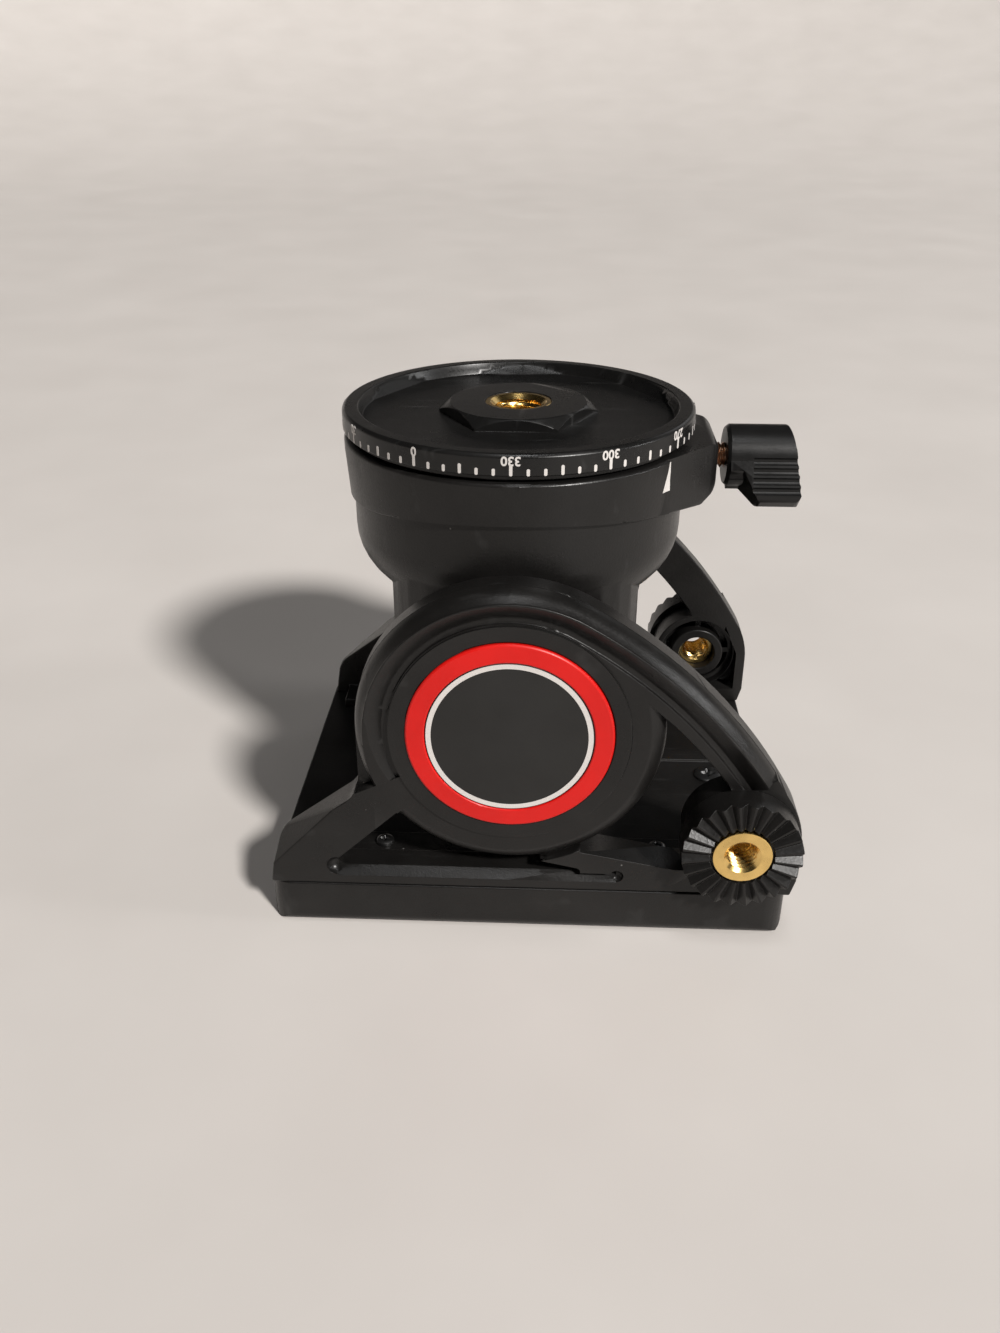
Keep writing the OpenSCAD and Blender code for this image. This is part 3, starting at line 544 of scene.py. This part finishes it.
def lathe(rows, around, pitch=1.0, ring=False):
    """A turned solid from rows of (radius, height, thread depth, cross depth), in millimetres."""
    verts, faces, starts = [], [], []
    for radius, height, depth, cross in rows:
        starts.append(len(verts))
        if radius == 0:
            verts.append((0, 0, height))
            continue
        for i in range(around):
            turn = math.tau * i / around
            r = radius + depth * flank(height / pitch - i / around) + cross * math.cos(4 * turn)
            verts.append((r * math.cos(turn), r * math.sin(turn), height))
    steps = list(zip(range(len(rows) - 1), range(1, len(rows))))
    if ring:
        steps.append((len(rows) - 1, 0))
    for low, high in steps:
        a, b = starts[low], starts[high]
        for i in range(around):
            j = (i + 1) % around
            if rows[low][0] == 0:
                faces.append((a, b + j, b + i))
            elif rows[high][0] == 0:
                faces.append((a + i, a + j, b))
            else:
                faces.append((a + i, a + j, b + j, b + i))
    return verts, faces


def plain(*points):
    """Round rows from points of (radius, height), in millimetres."""
    return [(r, h, 0.0, 0.0) for r, h in points]


def threaded(thread, start, end):
    """Rows of a thread, which fades in and out."""
    radius, depth, pitch = thread
    count = max(2, round(abs(end - start) / pitch * ROWS_PER_TURN))
    fade_over = FADE_TURNS * pitch
    rows = []
    for i in range(count + 1):
        height = start + (end - start) * i / count
        fade = min(1.0, abs(height - start) / fade_over, abs(end - height) / fade_over)
        rows.append((radius, height, depth * fade, 0.0))
    return rows


def crossed(*points):
    """Cross-shaped rows from points of (radius, height, depth of the cross)."""
    return [(r, h, 0.0, depth) for r, h, depth in points]


# Frames of the turned solids: the way that their heights run
UP = Matrix(((1, 0, 0), (0, 1, 0), (0, 0, 1)))
TO_RIGHT = Matrix(((0, 0, 1), (1, 0, 0), (0, 1, 0)))
TO_NEAR = Matrix(((1, 0, 0), (0, 0, -1), (0, 1, 0)))
TO_FAR = Matrix(((1, 0, 0), (0, 0, 1), (0, -1, 0)))


def turned_piece(name, node, solid, frame_of, spots):
    """Copies of a turned solid, placed at these spots, which stand for a CAD node."""
    verts, faces = [], []
    for spot in spots:
        start = len(verts)
        verts += [(Vector(spot) + frame_of @ Vector(v)) * MM for v in solid[0]]
        faces += [tuple(start + i for i in face) for face in solid[1]]
    mesh = mesh_of(name, verts, faces)
    face_outwards(mesh)
    slot = SLOT_OF[node]
    piece = place(name, mesh, BODY_OF[node], slot, FINISH[slot], (node,))
    piece.modifiers.new("even", "WEIGHTED_NORMAL").keep_sharp = True


def box_mm(node):
    """The low and the high corner of a CAD node's box, in millimetres."""
    return (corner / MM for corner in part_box(node))


def make_tripod_insert():
    low, high = box_mm("tripod_insert")
    foot, top, head = low.z, high.z, high.x
    rows = plain(
        (0, foot), (head - 0.15, foot), (head, foot + 0.15), (head, foot + 2.25),
        (head - 0.15, foot + 2.4), (5.65, foot + 2.4), (5.65, top - 0.12), (5.53, top),
        (4.86, top), (4.77, top - 0.06), (4.05, top - 0.75))
    rows += threaded(TRIPOD_THREAD, top - 0.8, top - 13.2)
    rows += plain((TRIPOD_THREAD[0], top - 13.9), (3.8, top - 14), (0, top - 14.6))
    solid = lathe(rows, STEPS_LARGE, TRIPOD_THREAD[2])
    turned_piece("tripod_insert_threaded", "tripod_insert", solid, UP, [(0, 0, 0)])


def make_handle_insert(node, way):
    low, high = box_mm(node)
    inner, out = sorted((abs(low.y), abs(high.y)))
    rows = plain(
        (2.85, inner), (3.55, inner), (3.7, inner + 0.15), (3.7, out - 1), (4.78, out - 1),
        (4.9, out - 0.88), (4.9, out - 0.22), (4.84, out - 0.08), (4.7, out), (3.12, out),
        (3.04, out - 0.06), (2.56, out - 0.5))
    rows += threaded(HANDLE_THREAD, out - 0.55, inner + 0.4)
    solid = lathe(rows, STEPS_MID, HANDLE_THREAD[2], ring=True)
    spot = ((low.x + high.x) / 2, 0, (low.z + high.z) / 2)
    turned_piece(node + "_threaded", node, solid, way, [spot])


def make_lock_screw():
    low, high = box_mm("pan_lock_screw")
    core = LOCK_THREAD[0]
    rows = plain((0, low.x), (1.45, low.x), (core, low.x + 0.3))
    rows += threaded(LOCK_THREAD, low.x + 0.35, high.x - 0.3)
    rows += plain((core, high.x - 0.2), (0, high.x))
    solid = lathe(rows, STEPS_SMALL, LOCK_THREAD[2])
    spot = (0, 0, (low.z + high.z) / 2)
    turned_piece("pan_lock_screw_threaded", "pan_lock_screw", solid, TO_RIGHT, [spot])


# Radius of the cheek screws' heads and of the stop screw's shank
CHEEK_HEAD_R = 1.6
STOP_R = 1.5


def make_cheek_screws():
    low, high = box_mm("cheek_screws")
    foot, top = low.z, high.z
    rows = plain(
        (0, foot), (0.6, foot), (1.0, foot + 0.5), (1.0, top - 0.9), (1.5, top - 0.9),
        (CHEEK_HEAD_R, top - 0.8), (CHEEK_HEAD_R, top - 0.45), (1.5, top - 0.2),
        (1.25, top - 0.05), (1.05, top))
    rows += crossed((0.72, top, 0.24), (0.66, top - 0.06, 0.22), (0.45, top - 0.45, 0.14))
    rows += plain((0, top - 0.55))
    spots = [(x, y, 0) for x in (low.x + CHEEK_HEAD_R, high.x - CHEEK_HEAD_R)
             for y in (low.y + CHEEK_HEAD_R, high.y - CHEEK_HEAD_R)]
    turned_piece("cheek_screws_crossed", "cheek_screws", lathe(rows, STEPS_SMALL), UP, spots)


def make_stop_screw():
    low, high = box_mm("stop_screw")
    foot, top = low.z, high.z
    head = (high.x - low.x) / 2
    rows = plain(
        (0, foot), (STOP_R - 0.3, foot), (STOP_R, foot + 0.3), (STOP_R, top - 0.7),
        (head - 0.1, top - 0.7), (head, top - 0.6), (head, top - 0.3), (head - 0.15, top - 0.1),
        (head - 0.5, top))
    rows += crossed((1.15, top, 0.36), (1.08, top - 0.07, 0.34), (0.7, top - 0.5, 0.2))
    rows += plain((0, top - 0.58))
    spot = ((low.x + high.x) / 2, 0, 0)
    turned_piece("stop_screw_crossed", "stop_screw", lathe(rows, STEPS_SMALL), UP, [spot])


make_tripod_insert()
make_handle_insert("near_handle_insert", TO_NEAR)
make_handle_insert("far_handle_insert", TO_FAR)
make_lock_screw()
make_cheek_screws()
make_stop_screw()


# Printed marks

def polar(radius, degrees, z):
    """A point round the pan axis, from millimetres and degrees."""
    angle = math.radians(degrees)
    return Vector((radius * math.cos(angle), radius * math.sin(angle), z)) * MM


# Ink stands this far off the surface it is printed on, and reaches this far into it
INK_LIFT = 0.03
INK_SINK = 0.03
# Marks are bent onto their surface in strips of this width; nearer cuts than this are one
STRIP_W = 0.6
STRIP_MERGE = 1e-6


def ink_mesh(name, verts, faces, bend, cuts=()):
    """Flat marks in millimetres, cut into strips, bent onto their surface and made thin slabs."""
    made = bmesh.new()
    for v in verts:
        made.verts.new((v[0], v[1], 0))
    made.verts.ensure_lookup_table()
    for face in faces:
        made.faces.new([made.verts[i] for i in face])
    low = min(v[0] for v in verts)
    high = max(v[0] for v in verts)
    planes = [((0, cut, 0), (0, 1, 0)) for cut in cuts]
    cut = math.ceil(low)
    while cut < high:
        planes.append(((cut, 0, 0), (1, 0, 0)))
        cut += STRIP_W
    for at, normal in planes:
        everything = made.verts[:] + made.edges[:] + made.faces[:]
        bmesh.ops.bisect_plane(
            made, geom=everything, dist=STRIP_MERGE, plane_co=at, plane_no=normal)
    made.verts.index_update()
    count = len(made.verts)
    points = [bend(v.co.x, v.co.y, INK_LIFT) for v in made.verts]
    points += [bend(v.co.x, v.co.y, -INK_SINK) for v in made.verts]
    polygons = []
    for face in made.faces:
        ring = [v.index for v in face.verts]
        polygons += [ring, [count + i for i in reversed(ring)]]
    for edge in made.edges:
        if len(edge.link_faces) == 1:
            loop = edge.link_loops[0]
            a, b = loop.vert.index, loop.link_loop_next.vert.index
            polygons.append([b, a, count + a, count + b])
    made.free()
    mesh = mesh_of(name, points, polygons)
    face_outwards(mesh)
    return mesh


# Degree scale on the band of the base, in millimetres and degrees
BASE_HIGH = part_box("base_disc")[1] / MM
BASE_R = BASE_HIGH.x
BAND_H = 3.5
BAND_LOW = BASE_HIGH.z - BAND_H
ZERO_AT = -120.4
TICK_W = 0.5
TICK_CORNER = 0.14
TICK_FOOT = 0.18
TICK_L = {5: 1.1, 15: 1.55, 30: 1.75}
DIGIT_FOOT = 1.72
DIGIT_H = 1.5
# Digits: height of a figure as a share of the type size, boldness and width
DIGIT_SHARE = 0.72
DIGIT_BOLD = 0.035
DIGIT_WIDTH = 0.98


def tick(x, low, high):
    """Upright bar with cut corners."""
    left, right, corner = x - TICK_W / 2, x + TICK_W / 2, TICK_CORNER
    return [(left, low + corner), (left + corner, low), (right - corner, low),
            (right, low + corner), (right, high - corner), (right - corner, high),
            (left + corner, high), (left, high - corner)]


def digits(text, height):
    """Outline triangles of a number, centred on the origin and upside down, in millimetres."""
    data = bpy.data.curves.new("number", "FONT")
    data.body = text
    data.size = height / DIGIT_SHARE
    data.offset = height * DIGIT_BOLD
    data.resolution_u = 4
    data.align_x = "CENTER"
    holder = bpy.data.objects.new("number", data)
    bpy.context.scene.collection.objects.link(holder)
    bpy.context.view_layer.update()
    shown = holder.evaluated_get(bpy.context.evaluated_depsgraph_get())
    mesh = bpy.data.meshes.new_from_object(shown)
    verts = [(v.co.x, v.co.y) for v in mesh.vertices]
    faces = [tuple(p.vertices) for p in mesh.polygons]
    bpy.data.objects.remove(holder)
    bpy.data.curves.remove(data)
    bpy.data.meshes.remove(mesh)
    low = min(v[1] for v in verts)
    top = max(v[1] for v in verts)
    grow = height / (top - low)
    return [(-v[0] * DIGIT_WIDTH, (top - v[1]) * grow) for v in verts], faces


def make_scale():
    verts, faces = [], []

    def add(points, polygons):
        start = len(verts)
        verts.extend(points)
        faces.extend(tuple(start + i for i in polygon) for polygon in polygons)

    per_degree = math.pi * BASE_R / 180
    for angle in range(0, 360, 5):
        step = 30 if angle % 30 == 0 else 15 if angle % 15 == 0 else 5
        # The numbers rise against the turn of the azimuth
        x = -angle * per_degree
        points = tick(x, TICK_FOOT, TICK_FOOT + TICK_L[step])
        add(points, [tuple(range(len(points)))])
        if step == 30:
            points, polygons = digits(str(angle), DIGIT_H)
            add([(x + p[0], DIGIT_FOOT + p[1]) for p in points], polygons)

    def bend(x, y, lift):
        return polar(BASE_R + lift, ZERO_AT + x / per_degree, BAND_LOW + y)

    mesh = ink_mesh("degree_scale", verts, faces, bend)
    place("degree_scale", mesh, "pan_base", "base_plastic", INK)


make_scale()


# Pointer on the flange, narrow and upright, with its point up at the scale
POINTER_AT = -35.0
POINTER_W = 1.9
POINTER_LOW = 74.1
POINTER_TIP = 79.0
# Ends of the blunt tip, as shares of half the width
POINTER_BLUNT = (0.38, 0.62)
FLANGE_R = 29.9
POINTER_CUTS = (75, 76, 77, 77.4, 78)


def make_pointer():
    per_degree = math.pi * FLANGE_R / 180
    housing = frame["nodes"]["pan_housing"].data
    tree = BVHTree.FromPolygons(
        [v.co for v in housing.vertices], [p.vertices for p in housing.polygons])

    def bend(x, z, lift):
        start = polar(2 * FLANGE_R, POINTER_AT + x / per_degree, z)
        hit, normal, _, _ = tree.ray_cast(start, Vector((-start.x, -start.y, 0)).normalized())
        return hit + normal * (lift * MM)

    half = POINTER_W / 2
    left, right = (half * share for share in POINTER_BLUNT)
    outline = [(-half, POINTER_LOW), (half, POINTER_LOW), (right, POINTER_TIP), (left, POINTER_TIP)]
    mesh = ink_mesh("pointer", outline, [(0, 1, 2, 3)], bend, POINTER_CUTS)
    place("pointer", mesh, "tilt_block", "black_plastic", INK)


make_pointer()


# White line round the cap: the distances of its two sides from the cap's edge, and its steps
RING_INSET = (0.98, 0.16)
RING_STEPS = 160


def make_cap_ring():
    low, high = box_mm("side_cap")
    centre_z = (low.z + high.z) / 2
    inner, outer = ((high.x - low.x) / 2 - inset for inset in RING_INSET)
    section = [(inner, -INK_SINK), (inner, INK_LIFT), (outer, INK_LIFT), (outer, -INK_SINK)]
    verts = []
    for radius, lift in section:
        for i in range(RING_STEPS):
            turn = math.tau * i / RING_STEPS
            verts.append(Vector((radius * math.cos(turn), low.y - lift,
                                 centre_z + radius * math.sin(turn))) * MM)
    faces = []
    for row in range(len(section)):
        a, b = row * RING_STEPS, (row + 1) % len(section) * RING_STEPS
        for i in range(RING_STEPS):
            j = (i + 1) % RING_STEPS
            faces.append((a + i, a + j, b + j, b + i))
    mesh = mesh_of("cap_ring", verts, faces)
    face_outwards(mesh)
    place("cap_ring", mesh, BODY_OF["side_cap"], "cap_face", INK)


make_cap_ring()


# Surroundings

# Floor disc, then a curve up to a low wall all round that darkens between two heights, in metres
FLOOR_MID_R = 0.3
FLOOR_R = 1.1
WALL_R = 2.6
WALL_H = 0.9
WALL_FADE = (0.22, 0.45)
CURVE_STEPS = 12
FLOOR_STEPS = 72
FLOOR_TONE = (0.62, 0.585, 0.555)
FLOOR_DARK = (0.605, 0.57, 0.54)
FLOOR_PALE = (0.635, 0.60, 0.57)
WALL_TONE = (0.07, 0.064, 0.06)
# Sizes of the floor's uneven patches and of its grain, in millimetres
PATCH_MM = 60
FLOOR_GRAIN_MM = 0.6


def make_backdrop():
    """A pale floor that curves up into a darker backdrop."""
    profile = [(FLOOR_MID_R, 0.0), (FLOOR_R, 0.0)]
    for step in range(1, CURVE_STEPS + 1):
        turn = math.pi / 2 * step / CURVE_STEPS
        radius = FLOOR_R + (WALL_R - FLOOR_R) * math.sin(turn)
        profile.append((radius, WALL_H * (1 - math.cos(turn))))
    verts = [(0.0, 0.0, 0.0)]
    for radius, z in profile:
        for i in range(FLOOR_STEPS):
            turn = math.tau * i / FLOOR_STEPS
            verts.append((radius * math.cos(turn), radius * math.sin(turn), z))
    faces = []
    for i in range(FLOOR_STEPS):
        j = (i + 1) % FLOOR_STEPS
        faces.append((0, 1 + i, 1 + j))
        for ring in range(len(profile) - 1):
            low = 1 + ring * FLOOR_STEPS
            high = low + FLOOR_STEPS
            faces.append((low + i, high + i, high + j, low + j))
    mesh = mesh_of("floor", verts, faces)
    floor = bpy.data.objects.new("floor", mesh)
    bpy.context.scene.collection.objects.link(floor)
    made = Finish("floor", FLOOR_TONE, 0.6)
    tone = made.noise(PATCH_MM, 4.0, 0.55)
    pale = made.mix(made.span(tone, *NOISE_BAND), FLOOR_DARK, FLOOR_PALE)
    height = made.node("ShaderNodeSeparateXYZ", {"Vector": made.where}).outputs["Z"]
    made.colour(made.mix(made.span(height, *WALL_FADE), pale, WALL_TONE))
    made.rough(made.span(tone, *NOISE_BAND, 0.55, 0.65))
    made.bump(made.noise(FLOOR_GRAIN_MM, 2.0), 0.2, 0.02)
    mesh.materials.append(made.mat)


make_backdrop()


# The lamps look at this point, in metres
AIM = Vector((0, 0, 0.04))
AMBIENT = 0.02


def add_lamp(name, kind, power, turn, at=(0, 0, 0)):
    data = bpy.data.lights.new(name, kind)
    data.energy = power
    lamp = bpy.data.objects.new(name, data)
    bpy.context.scene.collection.objects.link(lamp)
    lamp.location = at
    lamp.rotation_euler = turn.to_euler()
    return data


def sun_light(name, direction, strength, spread_deg, colour):
    """A large soft box far away: even light over the whole floor."""
    data = add_lamp(name, "SUN", strength, Vector(direction).to_track_quat("Z", "Y"))
    data.angle = math.radians(spread_deg)
    data.color = colour


def area_light(name, at, size, power):
    """A soft box of so many metres at this place."""
    data = add_lamp(name, "AREA", power, (AIM - Vector(at)).to_track_quat("-Z", "Y"), at)
    data.shape = "RECTANGLE"
    data.size, data.size_y = size


sun_light("key", (0.60, -0.74, 0.77), 4.35, 7.0, (1.0, 0.97, 0.94))
area_light("top", (0.03, -0.35, 1.3), (0.2, 0.3), 2.6)
area_light("side", (1.5, -0.1, 0.6), (0.2, 0.2), 4.5)
area_light("back", (1.1, 1.5, 1.0), (0.8, 0.8), 1.8)

world = bpy.data.worlds.new("studio")
world.use_nodes = True
glow = world.node_tree.nodes["Background"]
glow.inputs["Color"].default_value = (0.5, 0.5, 0.5, 1)
glow.inputs["Strength"].default_value = AMBIENT
bpy.context.scene.world = world
bpy.context.scene.view_settings.view_transform = "Standard"
